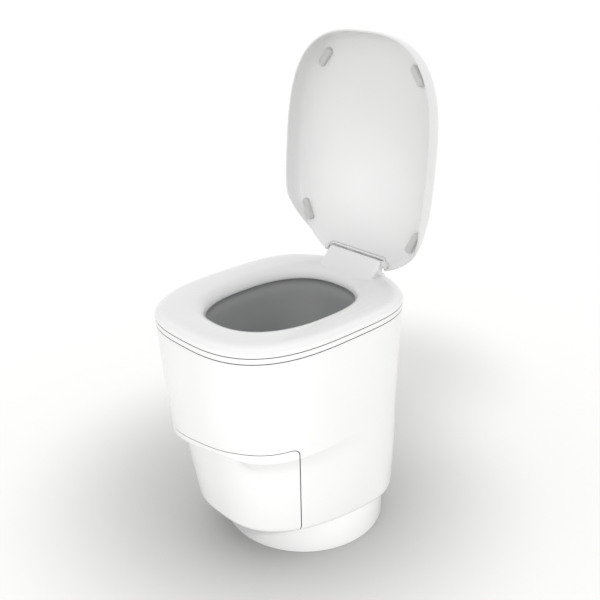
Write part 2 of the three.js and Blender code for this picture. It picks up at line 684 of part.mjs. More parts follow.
function cassetteTank() {
  const ringsFor = (inset, low, high) => loft([
    atHeight(outline(TRAY, inset + 14), low),
    atHeight(outline(TRAY, inset + 4), low + 8),
    atHeight(outline(TRAY, inset), low + 20),
    atHeight(outline(TRAY, inset), high - 26),
    atHeight(outline(TRAY, inset + 5), high - 9),
    atHeight(outline(TRAY, inset + 16), high),
  ]);
  const bed = union(
    box(SPOUT.x - 24, SPOUT.x + 60, -230, 128, SPOUT.z - 26, 300),
    box(-66, 66, -212, -118, TANK_TOP - 4, 300),
  );
  const bedRoom = union(
    box(SPOUT.x - 27, SPOUT.x + 60, -230, 131, SPOUT.z - 29, 300),
    box(-69, 69, -215, -115, TANK_TOP - 7, 300),
  );
  const outer = cut(ringsFor(4.5, TRAY_BASE + 3.5, TANK_TOP), bed);
  const inner = cut(ringsFor(7.5, TRAY_BASE + 6.5, TANK_TOP - 3), bedRoom);
  const collar = rod("z", [OUTLET.x, OUTLET.y], TANK_TOP - 4, TANK_TOP + 14, 54, 54, 32);
  const mouth = rod("z", [OUTLET.x, OUTLET.y], TANK_TOP - 8, 300, 46, 46, 32);
  const ears = [-1, 1].map((side) =>
    union(
      box(side * 48 - 3, side * 48 + 3, HANDLE.y - 6, HANDLE.y + 6, TANK_TOP - 10, HANDLE.z),
      rod("x", [HANDLE.y, HANDLE.z], side * 48 - 3, side * 48 + 3, 6, 6, 20),
    ),
  );
  const earBore = rod("x", [HANDLE.y, HANDLE.z], -60, 60, 2.6, 2.6, 16);
  const post = union(
    box(SPOUT.x - 22, SPOUT.x - 18, SPOUT.y - 8, SPOUT.y + 8, SPOUT.z - 30, SPOUT.z + 2),
    rod("x", [SPOUT.y, SPOUT.z + 2], SPOUT.x - 22, SPOUT.x - 18, 8, 8, 24),
  );
  const postBore = rod("x", [SPOUT.y, SPOUT.z + 2], SPOUT.x - 30, SPOUT.x - 10, 4.1, 4.1, 20);
  const ventHole = rod("z", [VENT.x, VENT.y], TANK_TOP - 10, 300, 8.4, 8.4, 24);
  const ventBoss = tube("z", [VENT.x, VENT.y], TANK_TOP - 2, TANK_TOP + 4, 8.4, 13, 24);
  const hollow = cut(union(outer, collar, ...ears, post, ventBoss), inner);
  return cut(hollow, mouth, earBore, postBore, ventHole);
}

const mouthSeal = () => tube("z", [OUTLET.x, OUTLET.y], TANK_TOP + 14.3, TANK_TOP + 17.8, 46.5, 53, 32);

function carryHandle() {
  const { y, z, half } = HANDLE;
  const grip = rod("x", [y + 46, z + 2], -half - 2, half + 2, 5, 5, 16);
  const arms = [-1, 1].map((side) =>
    union(
      box(side * half - 3, side * half + 3, y - 5, y + 46, z - 4, z + 4),
      rod("x", [y, z], side > 0 ? 51.6 : -half - 3, side > 0 ? half + 3 : -51.6, 5, 5, 16),
      rod("x", [y, z], side > 0 ? 44 : -54, side > 0 ? 54 : -44, 2.5, 2.5, 16),
    ),
  );
  return union(grip, ...arms);
}

// Pour-out spout lying along the top of the tank; it swings up about its front trunnion.
function pourSpout() {
  const { x, y, z, r, length } = SPOUT;
  const body = union(
    rod("y", [x, z], y - 10, y + length, r, r - 2, 28),
    rod("x", [y, z + 2], x - 21, x - 8, 4, 4, 20),
    rod("y", [x, z], y + length - 2, y + length + 8, r - 5, r - 5, 28),
  );
  return cut(body, rod("y", [x, z], y - 6, y + length + 10, r - 5, r - 7.5, 28));
}

function spoutCap() {
  const { x, y, z, r, length } = SPOUT;
  const end = y + length + 10.4;
  const ribs = [];
  for (let k = 0; k < 8; k++) {
    const t = (k * TAU) / 8;
    const at = [x + (r - 1.4) * Math.cos(t), z + (r - 1.4) * Math.sin(t)];
    ribs.push(rod("y", at, end - 9, end + 3, 1.4, 1.4, 8));
  }
  return cut(
    union(rod("y", [x, z], end - 9, end + 3, r - 1.4, r - 1.4, 36), ...ribs),
    rod("y", [x, z], end - 20, end, r - 4.6, r - 4.6, 28),
  );
}

const ventButton = () =>
  union(
    rod("z", [VENT.x, VENT.y], TANK_TOP - 2, TANK_TOP + 10, 8, 8, 24),
    rod("z", [VENT.x, VENT.y], TANK_TOP - 10, TANK_TOP - 1, 3, 3, 16),
  );

// ---------------------------------------------------------------- assembly
// Each moving part is a group set at its own pivot, so turning or sliding the group works the joint.
function movingGroup(name, parent, pivot) {
  const group = new THREE.Group();
  group.name = name;
  group.userData.pivot = pivot;
  group.position.set(...pivot.map((v, k) => v - parent.userData.pivot[k]));
  parent.add(group);
  return group;
}

// Adds a mesh to a group; the solid is drawn in the toilet's own frame.
function place(group, name, solid, material) {
  const mesh = solid.getMesh();
  const geometry = new THREE.BufferGeometry();
  geometry.setAttribute("position", new THREE.BufferAttribute(new Float32Array(mesh.vertProperties), 3));
  geometry.setIndex(new THREE.BufferAttribute(new Uint32Array(mesh.triVerts), 1));
  geometry.translate(...group.userData.pivot.map((v) => -v));
  geometry.computeVertexNormals();
  const object = new THREE.Mesh(geometry, new THREE.MeshStandardMaterial(MATERIALS[material]));
  object.name = name;
  group.add(object);
}

const toilet = new THREE.Group();
toilet.name = "cassette_toilet";
toilet.userData.pivot = [0, 0, 0];
const body = movingGroup("body", toilet, [0, 0, FOOT_TOP + 1.5]);
const seat = movingGroup("seat", body, [0, SEAT_PIVOT.y, SEAT_PIVOT.z]);
const lid = movingGroup("lid", seat, [0, PIVOT.y, PIVOT.z]);
const blade = movingGroup("blade", body, [0, 0, VALVE.low]);
const pinion = movingGroup("pinion", body, [PINION.x, PINION.y, GEAR_LOW]);
const button = movingGroup("button", body, [BUTTON.x, BUTTON.y, BUTTON.z]);
const drawer = movingGroup("drawer", body, [0, 0, TRAY_BASE]);
const runnerMiddle = movingGroup("runner_middle", body, [0, 0, RAIL_Z]);
const handle = movingGroup("handle", drawer, [0, HANDLE.y, HANDLE.z]);
const spout = movingGroup("spout", drawer, [SPOUT.x, SPOUT.y, SPOUT.z + 2]);
const cap = movingGroup("cap", spout, [SPOUT.x, SPOUT.y + SPOUT.length, SPOUT.z]);
const vent = movingGroup("vent", drawer, [VENT.x, VENT.y, TANK_TOP]);
lid.rotation.x = -LID_OPEN_ANGLE;

place(toilet, "foot_shell", footShell(), "white");
place(toilet, "floor_plate", floorPlate(), "darkGrey");
screwPlaces().forEach((at, k) => place(toilet, `floor_screw_${k + 1}`, floorScrew(at), "steel"));
place(toilet, "glide_ring", glideRing(), "padGrey");
place(body, "turntable_hub", turntableHub(), "darkGrey");
place(body, "hub_nut", hubNut(), "darkGrey");
place(body, "body_shell", bodyShell(), "white");
place(body, "rear_cover", rearCover(), "white");
place(body, "power_inlet", powerInlet(), "rubber");
place(body, "band_ring", bandRing(), "white");
place(body, "seat_hinge_pin", seatHingePin(), "steel");
place(body, "bowl", bowl(), "greyBowl");
place(body, "valve_housing", valveHousing(), "darkGrey");
place(body, "valve_seal", valveSeal(), "rubber");
place(blade, "valve_blade", valveBlade(), "steel");
place(blade, "valve_rack", valveRack(), "tankGrey");
place(pinion, "drive_pinion", drivePinion(), "tankGrey");
place(body, "valve_motor", valveMotor(), "steel");
place(body, "button_bezel", buttonBezel(), "padGrey");
place(button, "control_button", controlButton(), "white");
place(body, "button_switch", buttonSwitch(), "darkGrey");
place(seat, "seat_deck", seatDeck(), "white");
SEAT_BUFFERS.forEach((at, k) => place(seat, `seat_buffer_${k + 1}`, seatBuffer(at), "rubber"));
place(lid, "lid_shell", lidShell(), "white");
place(lid, "lid_hinge_rod", lidHingeRod(), "steel");
LID_BUMPERS.forEach((spec, k) => place(lid, `lid_bumper_${k + 1}`, lidBumper(spec), "padGrey"));
place(drawer, "drawer_front", drawerFront(), "white");
place(drawer, "drawer_tray", drawerTray(), "tankGrey");
for (const [label, side] of [["left", -1], ["right", 1]]) {
  place(drawer, `runner_inner_${label}`, runnerPart("inner", side), "steel");
  place(runnerMiddle, `runner_middle_${label}`, runnerPart("middle", side), "steel");
  place(body, `runner_outer_${label}`, runnerPart("outer", side), "steel");
}
place(drawer, "catch_plate", catchPlate(), "steel");
place(body, "magnet_catch", magnetCatch(), "darkGrey");
place(drawer, "cassette_tank", cassetteTank(), "tankGrey");
place(drawer, "mouth_seal", mouthSeal(), "rubber");
place(handle, "carry_handle", carryHandle(), "darkGrey");
place(spout, "pour_spout", pourSpout(), "darkGrey");
place(cap, "spout_cap", spoutCap(), "padGrey");
place(vent, "vent_button", ventButton(), "padGrey");

export default toilet;
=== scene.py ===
"""Looks of the cassette toilet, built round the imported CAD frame.

Shapes are worked out in millimetres in the frame's own axes (front -Y, +Z up) and made in metres.
"""

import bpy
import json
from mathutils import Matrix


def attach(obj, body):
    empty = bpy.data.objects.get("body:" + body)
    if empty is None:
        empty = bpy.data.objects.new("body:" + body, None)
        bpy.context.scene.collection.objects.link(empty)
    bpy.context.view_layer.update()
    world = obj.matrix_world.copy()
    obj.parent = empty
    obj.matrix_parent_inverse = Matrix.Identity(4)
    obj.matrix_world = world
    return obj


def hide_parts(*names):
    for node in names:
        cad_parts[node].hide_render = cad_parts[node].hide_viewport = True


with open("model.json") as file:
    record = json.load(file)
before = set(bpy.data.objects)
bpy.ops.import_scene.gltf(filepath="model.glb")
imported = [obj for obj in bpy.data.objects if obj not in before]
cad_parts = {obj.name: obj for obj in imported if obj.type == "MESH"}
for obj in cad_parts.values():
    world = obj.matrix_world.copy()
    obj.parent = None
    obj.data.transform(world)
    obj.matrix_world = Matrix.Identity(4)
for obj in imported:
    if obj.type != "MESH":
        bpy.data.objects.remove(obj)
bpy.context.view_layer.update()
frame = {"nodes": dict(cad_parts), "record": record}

import json
import math

import bmesh
import bpy
import numpy as np
from mathutils import Matrix, Vector

MM = 0.001
TAU = 2 * math.pi
AROUND = 300  # columns round each shell
NODES = frame["nodes"]


# ---------------------------------------------------------------- small maths
def lerp(a, b, t):
    return a + (b - a) * t


def clamp01(t):
    return np.clip(t, 0.0, 1.0)


def smooth(t):
    t = clamp01(t)
    return t * t * (3 - 2 * t)


def circle_angles(count):
    return np.arange(count) / count * TAU


def outline(o, inset=0.0, angles=None):
    """Egg-like plan outline with its own exponents ahead of and behind its widest line."""
    t = ANGLES if angles is None else angles
    c, s = np.cos(t), np.sin(t)
    ahead = s < 0
    p = np.where(ahead, o["pf"], o["pr"])
    q = np.where(ahead, o["qf"], o["qr"])
    reach = np.where(ahead, o["wide"] - o["front"], o["rear"] - o["wide"]) - inset
    x = (o["a"] - inset) * np.sign(c) * np.abs(c) ** (2 / p)
    y = o["wide"] + reach * np.sign(s) * np.abs(s) ** (2 / q)
    return np.stack([x, y], 1)


def even_angles(shape, count):
    """Angles that give points at even distances round an outline."""
    dense = np.linspace(0, TAU, 20001)
    steps = np.linalg.norm(np.diff(outline(shape, 0, dense), axis=0), axis=1)
    along = np.concatenate([[0], np.cumsum(steps)])
    return np.interp(np.arange(count) / count * along[-1], along, dense)


def at_height(xy, z):
    return np.column_stack([xy, np.broadcast_to(z, len(xy))])


# ---------------------------------------------------------------- plan shapes, as in the CAD
SEAT_EDGE = dict(a=190, front=-298.5, rear=183, wide=-41, pf=2.81, qf=3.13, pr=2.0, qr=3.49)
SEAT_HOLE = dict(a=112, front=-214.5, rear=97, wide=-54.5, pf=2.4, qf=2.5, pr=2.4, qr=2.5)
LID_RIM = dict(a=188.6, front=-298, rear=180.7, wide=-41, pf=2.76, qf=3.19, pr=2.12, qr=3.09)
ANGLES = even_angles(SEAT_EDGE, AROUND)

BAND_BASE, BAND_TOP = 488.5, 500.0
CREASE = 277.0
BODY_BASE = 80.0
WALL = 4.5
BLEND_TOP = 320.0  # above this the rows of the upper shell are level
LOW_LEVEL = 130.0  # below this the rows of the lower body are level
BOTTOM_ROUND = 14.0
DEPTHS_BELOW_CREASE = (80, 73, 66, 59, 52, 46, 40, 35, 30, 25, 21, 17, 14, 11, 9,
                       7.5, 6.2, 5.2, 4.4, 3.6, 2.8, 2, 1.3, 0.6, 0)  # rows get closer towards the crease


def upper_shape(z):
    s = (BAND_BASE - z) / (BAND_BASE - CREASE)
    return dict(SEAT_EDGE, a=189 - 5 * s, front=-297 + 10 * s + 11 * s * s, rear=182 - 4 * s,
                wide=-41 + 2.5 * s)


def lower_shape(z):
    t = (CREASE - z) / (CREASE - BODY_BASE)
    return dict(a=180 + 6.5 * t, front=-260 + 28 * t, rear=178 - 7 * t, wide=-1 + 36 * t,
                pf=2.8, qf=3.1 - 1.2 * t, pr=2.0 - 0.1 * t, qr=3.49 - 1.49 * t)


def crease_height(xy):
    """Level round the sides, dipping towards -X along the finger grip at the front."""
    x, y = xy.T
    grip = smooth((-y - 170) / 60)
    return lerp(CREASE, np.minimum(CREASE, 265.5 + 0.19 * x), grip)


def row_below_crease(depth, inset, lift, level=0.0, angles=None):
    """A row `depth` below the crease; `level` 0 to 1 carries it on to the level row at LOW_LEVEL."""
    wide = outline(upper_shape(CREASE), inset, angles)
    x, y = wide.T
    z = lerp(crease_height(wide) - depth, LOW_LEVEL, level)
    low = outline(lower_shape(z), inset, angles)
    grip = smooth((-y - 200) / 32) * smooth((118 - x) / 45)
    soft = 1 - (1 - min(1.0, depth / 45)) ** 2
    step = lerp(soft, min(1.0, depth / 5), grip)
    rear = smooth((y + 105) / 140) * (1 - smooth((depth + 70 * level) / 150))
    t = (step * (1 - rear))[:, None]
    return np.column_stack([lerp(wide, low, t), z + lift * (1 - level)])


def body_rows(inset, angles=None):
    """Rows of the body's skin from the hub hole up to the seam; a positive inset gives the inner wall."""
    base = BODY_BASE + inset
    radius = BOTTOM_ROUND - inset
    lift = 4.0 if inset > 1 else 0.0
    t = ANGLES if angles is None else angles
    hub = 56 * np.stack([np.cos(t), np.sin(t)], 1)
    floor_edge = outline(lower_shape(base), inset + radius, angles)
    rows = [at_height(lerp(hub, floor_edge, f), base) for f in np.linspace(0, 0.98, 18)]
    for angle in np.linspace(0, math.pi / 2, 9):
        z = base + radius * (1 - math.cos(angle))
        rows.append(at_height(outline(lower_shape(z), inset + radius * (1 - math.sin(angle)), angles), z))
    for z in np.linspace(base + radius, LOW_LEVEL, 8)[1:-1]:
        rows.append(at_height(outline(lower_shape(z), inset, angles), z))
    for level in np.linspace(1, 0, 10)[:-1]:
        rows.append(row_below_crease(80, inset, lift, level, angles))
    for depth in DEPTHS_BELOW_CREASE:
        rows.append(row_below_crease(depth, inset, lift, 0.0, angles))
    crease_row = len(rows) - 1
    wide = outline(upper_shape(CREASE), inset, angles)
    low = crease_height(wide) + lift
    for f in np.concatenate([[0.015, 0.035, 0.06, 0.1], np.linspace(0.15, 1, 16)]):
        ring = outline(upper_shape(lerp(CREASE, BLEND_TOP, f)), inset, angles)
        rows.append(np.column_stack([ring, lerp(low, BLEND_TOP, f)]))
    for z in np.linspace(BLEND_TOP, BAND_BASE + 3, 27)[1:]:
        rows.append(at_height(outline(upper_shape(z), inset, angles), z))
    rows = np.array(rows)
    for _ in range(4):  # takes the edge off the crease
        near = slice(crease_row - 8, crease_row + 4)
        before, after = rows[crease_row - 9:crease_row + 3], rows[crease_row - 7:crease_row + 5]
        rows[near] = (before + 2 * rows[near] + after) / 4
    return rows


# ---------------------------------------------------------------- mesh tools
class Sheet:
    """An outer surface and the inner one behind it.

    Both have the same faces; `outer` and `inner` hold their points.
    """

    def __init__(self, outer_rows, inner_rows, closed=True):
        rows, count = outer_rows.shape[:2]
        self.outer = outer_rows.reshape(-1, 3)
        self.inner = inner_rows.reshape(-1, 3)
        self.faces = []
        for k in range(rows - 1):
            for i in range(count if closed else count - 1):
                j = (i + 1) % count
                here, above = k * count, (k + 1) * count
                self.faces.append((here + i, here + j, above + j, above + i))

    def cut(self, distance, level):
        """Keeps what lies at or beyond `level` of a distance function, with a line of edges there."""
        self.split(distance(self.outer), level, keep_beyond_only=True)

    def lines(self, distance, levels):
        for level in levels:
            self.split(distance(self.outer), level, keep_beyond_only=False)

    def split(self, values, level, keep_beyond_only):
        h = values - level
        h[np.abs(h) < 1e-4] = 0.0
        outer, inner = [self.outer], [self.inner]
        count = len(self.outer)
        made = {}

        def crossing(a, b):
            nonlocal count
            key = (a, b) if a < b else (b, a)
            if key not in made:
                t = h[key[0]] / (h[key[0]] - h[key[1]])
                outer.append(lerp(self.outer[key[0]], self.outer[key[1]], t)[None])
                inner.append(lerp(self.inner[key[0]], self.inner[key[1]], t)[None])
                made[key] = count
                count += 1
            return made[key]

        faces = []
        for face in self.faces:
            values_here = [h[v] for v in face]
            low, high = min(values_here), max(values_here)
            if low >= 0:
                faces.append(face)
                continue
            if high <= 0:
                if not keep_beyond_only:
                    faces.append(face)
                continue
            beyond, short = [], []
            for a, b in zip(face, face[1:] + face[:1]):
                if h[a] >= 0:
                    beyond.append(a)
                if h[a] <= 0:
                    short.append(a)
                if h[a] * h[b] < 0:
                    v = crossing(a, b)
                    beyond.append(v)
                    short.append(v)
            faces.append(tuple(beyond))
            if not keep_beyond_only:
                faces.append(tuple(short))
        self.outer = np.concatenate(outer)
        self.inner = np.concatenate(inner)
        self.faces = [f for f in faces if len(f) > 2]

    def tidy(self):
        used = np.unique([v for f in self.faces for v in f])
        place = {int(v): i for i, v in enumerate(used)}
        self.outer, self.inner = self.outer[used], self.inner[used]
        self.faces = [tuple(place[v] for v in f) for f in self.faces]

    def solid(self, distance, radius, both_sides=False):
        """Closed wall between the two surfaces, its cut edges rounded to `radius`."""
        self.tidy()
        reach = np.clip(distance(self.outer), 0, radius)
        sink = (radius - np.sqrt(radius ** 2 - (radius - reach) ** 2))[:, None]
        way = self.inner - self.outer
        way = way / np.maximum(np.linalg.norm(way, axis=1, keepdims=True), 1e-6)
        outside = self.outer + way * sink
        inside = self.inner - way * sink if both_sides else self.inner
        n = len(outside)
        faces = list(self.faces) + [tuple(v + n for v in reversed(f)) for f in self.faces]
        edges = {}
        for f in self.faces:
            for a, b in zip(f, f[1:] + f[:1]):
                edges[(a, b)] = True
        for a, b in edges:
            if (b, a) not in edges:
                faces.append((b, a, a + n, b + n))
        return np.concatenate([outside, inside]), faces


def loop_solid(rows):
    """Closed ring: the rows follow a closed cross-section once round."""
    rows = np.asarray(rows)
    count_rows, count = rows.shape[:2]
    faces = []
    for k in range(count_rows):
        m = (k + 1) % count_rows
        for i in range(count):
            j = (i + 1) % count
            faces.append((k * count + i, k * count + j, m * count + j, m * count + i))
    return rows.reshape(-1, 3), faces


def capped_solid(rows):
    """Stack of rings closed by a fan at each end."""
    rows = np.asarray(rows)
    count_rows, count = rows.shape[:2]
    faces = []
    for k in range(count_rows - 1):
        for i in range(count):
            j = (i + 1) % count
            faces.append((k * count + i, k * count + j, (k + 1) * count + j, (k + 1) * count + i))
    low, high = count_rows * count, count_rows * count + 1
    last = (count_rows - 1) * count
    for i in range(count):
        j = (i + 1) % count
        faces.append((low, j, i))
        faces.append((high, last + i, last + j))
    points = np.concatenate([rows.reshape(-1, 3), rows[0].mean(0)[None], rows[-1].mean(0)[None]])
    return points, faces


def catmull(rows, steps, closed=True):
    """Rows of a smooth curve through the given rows (centripetal, so it doesn't overshoot)."""
    rows = np.asarray(rows, float)
    n = len(rows)
    made = []
    for k in range(n if closed else n - 1):
        if closed:
            a, b, c, d = (rows[(k + m) % n] for m in (-1, 0, 1, 2))
        else:
            a, b, c, d = (rows[min(max(k + m, 0), n - 1)] for m in (-1, 0, 1, 2))
        knot = lambda p, q: np.sqrt(np.linalg.norm(q - p, axis=-1, keepdims=True)) + 1e-3
        t1 = knot(a, b)
        t2 = t1 + knot(b, c)
        t3 = t2 + knot(c, d)
        for s in range(steps):
            t = lerp(t1, t2, s / steps)
            ab = a * (t1 - t) / t1 + b * t / t1
            bc = b * (t2 - t) / (t2 - t1) + c * (t - t1) / (t2 - t1)
            cd = c * (t3 - t) / (t3 - t2) + d * (t - t2) / (t3 - t2)
            abc = ab * (t2 - t) / t2 + bc * t / t2
            bcd = bc * (t3 - t) / (t3 - t1) + cd * (t - t1) / (t3 - t1)
            made.append(abc * (t2 - t) / (t2 - t1) + bcd * (t - t1) / (t2 - t1))
    if not closed:
        made.append(rows[-1])
    return np.array(made)


def fillet(corners, steps=5, closed=True):
    """Rounds the corners (u, v, radius) of a flat profile."""
    n = len(corners)
    made = []
    for k, (u, v, radius) in enumerate(corners):
        p = np.array([u, v], float)
        if radius <= 0 or (not closed and k in (0, n - 1)):
            made.append(p)
            continue
        a = np.array(corners[k - 1][:2], float) - p
        b = np.array(corners[(k + 1) % n][:2], float) - p
        la, lb = np.linalg.norm(a), np.linalg.norm(b)
        a, b = a / la, b / lb
        half = math.acos(max(-1.0, min(1.0, float(a @ b)))) / 2
        reach = min(radius / math.tan(half), 0.49 * la, 0.49 * lb)
        r = reach * math.tan(half)
        centre = p + (a + b) / np.linalg.norm(a + b) * (r / math.sin(half))
        start, end = p + a * reach - centre, p + b * reach - centre
        turn = math.atan2(start[0] * end[1] - start[1] * end[0], float(start @ end))
        for s in range(steps + 1):
            w = turn * s / steps
            made.append(centre + np.array([
                start[0] * math.cos(w) - start[1] * math.sin(w),
                start[0] * math.sin(w) + start[1] * math.cos(w),
            ]))
    return np.array(made)


def lathe(axis, at, profile, segments=64, closed=False):
    """Turns (level, radius) points about an axis; `at` holds the other two coordinates."""
    t = circle_angles(segments)
    rows = []
    for level, radius in profile:
        u, v = radius * np.cos(t), radius * np.sin(t)
        flat = np.full(segments, level)
        if axis == "z":
            rows.append(np.stack([at[0] + u, at[1] + v, flat], 1))
        elif axis == "x":
            rows.append(np.stack([flat, at[0] + u, at[1] + v], 1))
        else:
            rows.append(np.stack([at[0] + v, flat, at[1] + u], 1))
    return loop_solid(rows) if closed else capped_solid(rows)


def joined(*solids):
    points, faces, base = [], [], 0
    for p, f in solids:
        points.append(p)
        faces += [tuple(v + base for v in face) for face in f]
        base += len(p)
    return np.concatenate(points), faces


def block(x0, x1, y0, y1, z0, z1, radius=1.0, steps=3):
    """Box with every edge rounded."""
    def ring(inset, z):
        left, right, front, rear = x0 + inset, x1 - inset, y0 + inset, y1 - inset
        corners = [(left, front), (right, front), (right, rear), (left, rear)]
        xy = fillet([(x, y, max(radius - inset, 0.02)) for x, y in corners], steps)
        return at_height(xy, z)
    rows = []
    for angle in np.linspace(0, math.pi / 2, steps + 1):
        rows.append(ring(radius * (1 - math.sin(angle)), z0 + radius * (1 - math.cos(angle))))
    for angle in np.linspace(math.pi / 2, 0, steps + 1):
        rows.append(ring(radius * (1 - math.sin(angle)), z1 - radius * (1 - math.cos(angle))))
    return capped_solid(rows)


def make(name, solid, material, body, slot, *replaced, turn=None, sharp=38):
    """A Blender object from points in millimetres, riding on a CAD body."""
    points, faces = solid
    mesh = bpy.data.meshes.new(name)
    mesh.from_pydata([tuple(p) for p in np.asarray(points) * MM], [], faces)
    if turn is not None:
        mesh.transform(turn)
    work = bmesh.new()
    work.from_mesh(mesh)
    bmesh.ops.remove_doubles(work, verts=work.verts, dist=1e-6)
    bmesh.ops.dissolve_degenerate(work, edges=work.edges, dist=1e-7)
    for face in work.faces:
        face.smooth = True
    limit = math.radians(sharp)
    for edge in work.edges:
        edge.smooth = len(edge.link_faces) == 2 and edge.calc_face_angle(0.0) < limit
    work.to_mesh(mesh)
    work.free()
    piece = bpy.data.objects.new(name, mesh)
    bpy.context.scene.collection.objects.link(piece)
    mesh.materials.append(material)
    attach(piece, body)
    if replaced:
        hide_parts(*replaced)
    return piece


def united(name, base, *others):
    """Boolean union of closed solids, read back as points and faces in millimetres."""
    objects = []
    for k, (points, faces) in enumerate((base,) + others):
        mesh = bpy.data.meshes.new(f"{name}_{k}")
        mesh.from_pydata([tuple(p) for p in points], [], faces)
        objects.append(bpy.data.objects.new(f"{name}_{k}", mesh))
        bpy.context.scene.collection.objects.link(objects[-1])
    for other in objects[1:]:
        union = objects[0].modifiers.new("union", "BOOLEAN")
        union.operation = "UNION"
        union.solver = "MANIFOLD"
        union.object = other
    evaluated = objects[0].evaluated_get(bpy.context.evaluated_depsgraph_get())
    mesh = evaluated.to_mesh()
    points = np.array([v.co[:] for v in mesh.vertices])
    faces = [tuple(p.vertices) for p in mesh.polygons]
    evaluated.to_mesh_clear()
    for piece in objects:
        data = piece.data
        bpy.data.objects.remove(piece)
        bpy.data.meshes.remove(data)
    return points, faces


# ---------------------------------------------------------------- materials
def shader(name, colour, roughness, **sockets):
    """Principled material; the keyword arguments set further sockets by name, _ for a space."""
    material = bpy.data.materials.new(name)
    material.use_nodes = True
    principled = material.node_tree.nodes["Principled BSDF"]
    principled.inputs["Base Color"].default_value = (*colour, 1)
    principled.inputs["Roughness"].default_value = roughness
    for socket, value in sockets.items():
        principled.inputs[socket.replace("_", " ")].default_value = value
    material.diffuse_color = (*colour, 1)
    return material, material.node_tree, principled


def noise(tree, scale, detail=3.0, stretch=None):
    coords = tree.nodes.new("ShaderNodeTexCoord")
    texture = tree.nodes.new("ShaderNodeTexNoise")
    texture.inputs["Scale"].default_value = scale
    texture.inputs["Detail"].default_value = detail
    if stretch:
        mapping = tree.nodes.new("ShaderNodeMapping")
        mapping.inputs["Scale"].default_value = stretch
        tree.links.new(coords.outputs["Object"], mapping.inputs["Vector"])
        tree.links.new(mapping.outputs["Vector"], texture.inputs["Vector"])
    else:
        tree.links.new(coords.outputs["Object"], texture.inputs["Vector"])
    return texture.outputs["Fac"]


def spread(tree, source, low, high, start=0.3, end=0.7):
    """Carries a 0 to 1 value into a range of numbers or colours."""
    if isinstance(low, tuple):
        ramp = tree.nodes.new("ShaderNodeValToRGB")
        ramp.color_ramp.elements[0].position = start
        ramp.color_ramp.elements[0].color = (*low, 1)
        ramp.color_ramp.elements[1].position = end
        ramp.color_ramp.elements[1].color = (*high, 1)
        tree.links.new(source, ramp.inputs["Fac"])
        return ramp.outputs["Color"]
    span = tree.nodes.new("ShaderNodeMapRange")
    for socket, value in (("From Min", start), ("From Max", end), ("To Min", low), ("To Max", high)):
        span.inputs[socket].default_value = value
    tree.links.new(source, span.inputs["Value"])
    return span.outputs["Result"]


def bumped(tree, principled, source, strength, distance):
    bump = tree.nodes.new("ShaderNodeBump")
    bump.inputs["Strength"].default_value = strength
    bump.inputs["Distance"].default_value = distance
    tree.links.new(source, bump.inputs["Height"])
    tree.links.new(bump.outputs["Normal"], principled.inputs["Normal"])


def moulded(name, low, high, roughness, grain, strength, **sockets):
    """Moulded plastic: slight colour drift, uneven gloss and a fine surface grain."""
    material, tree, principled = shader(name, high, sum(roughness) / 2, **sockets)
    tree.links.new(spread(tree, noise(tree, 5, 2), low, high), principled.inputs["Base Color"])
    tree.links.new(spread(tree, noise(tree, 22, 5), *roughness), principled.inputs["Roughness"])
    bumped(tree, principled, noise(tree, grain, 2), strength, 0.0002)
    return material


def brushed(name, colour, stretch):
    material, tree, principled = shader(name, colour, 0.3, Metallic=1.0)
    streaks = noise(tree, 40, 4, stretch)
    tree.links.new(spread(tree, streaks, 0.2, 0.42), principled.inputs["Roughness"])
    darker = tuple(c * 0.8 for c in colour)
    tree.links.new(spread(tree, streaks, darker, colour), principled.inputs["Base Color"])
    bumped(tree, principled, streaks, 0.15, 0.0001)
    return material


WHITE = moulded("white_gloss_moulding", (0.74, 0.74, 0.738), (0.76, 0.76, 0.757), (0.2, 0.27), 260, 0.05,
                Coat_Weight=0.35, Coat_Roughness=0.12, IOR=1.47)
BOWL = moulded("grey_bowl_plastic", (0.27, 0.273, 0.277), (0.31, 0.313, 0.317), (0.3, 0.42), 500, 0.12)
PAD = moulded("pad_elastomer", (0.56, 0.56, 0.555), (0.61, 0.61, 0.605), (0.4, 0.5), 700, 0.1,
              Subsurface_Weight=0.2, Subsurface_Scale=0.004, Subsurface_Radius=(1, 1, 1))
TANK = moulded("tank_polyethylene", (0.44, 0.46, 0.48), (0.5, 0.52, 0.54), (0.42, 0.55), 380, 0.3)
DARK = moulded("dark_nylon", (0.05, 0.053, 0.058), (0.075, 0.078, 0.083), (0.42, 0.55), 900, 0.4)
RUBBER = moulded("black_rubber", (0.018, 0.018, 0.019), (0.03, 0.03, 0.031), (0.6, 0.75), 600, 0.25)
STEEL = brushed("plated_steel", (0.62, 0.63, 0.64), (1, 12, 12))
FINISH = dict(white_gloss=WHITE, grey_bowl=BOWL, pad_grey=PAD, tank_grey=TANK, dark_plastic=DARK,
              rubber=RUBBER, steel=STEEL)


# ---------------------------------------------------------------- foot
def foot():
    profile = fillet([
        (0, 169.5, 0.5), (0, 173, 1.2), (73, 170.2, 1.5), (77, 167, 1.6), (77, 46, 1.0), (72, 46, 0.8),
        (72, 166, 3.0),
    ])
    shell = lathe("z", (0, 0), profile, 160, closed=True)
    make("foot", shell, WHITE, "pedestal", "white_gloss", "foot_shell")
    ring = fillet([(77.3, 118, 0.4), (77.3, 148, 0.4), (79.7, 148, 0.8), (79.7, 118, 0.8)])
    make("glide", lathe("z", (0, 0), ring, 120, closed=True), PAD, "pedestal", "pad_grey", "glide_ring")


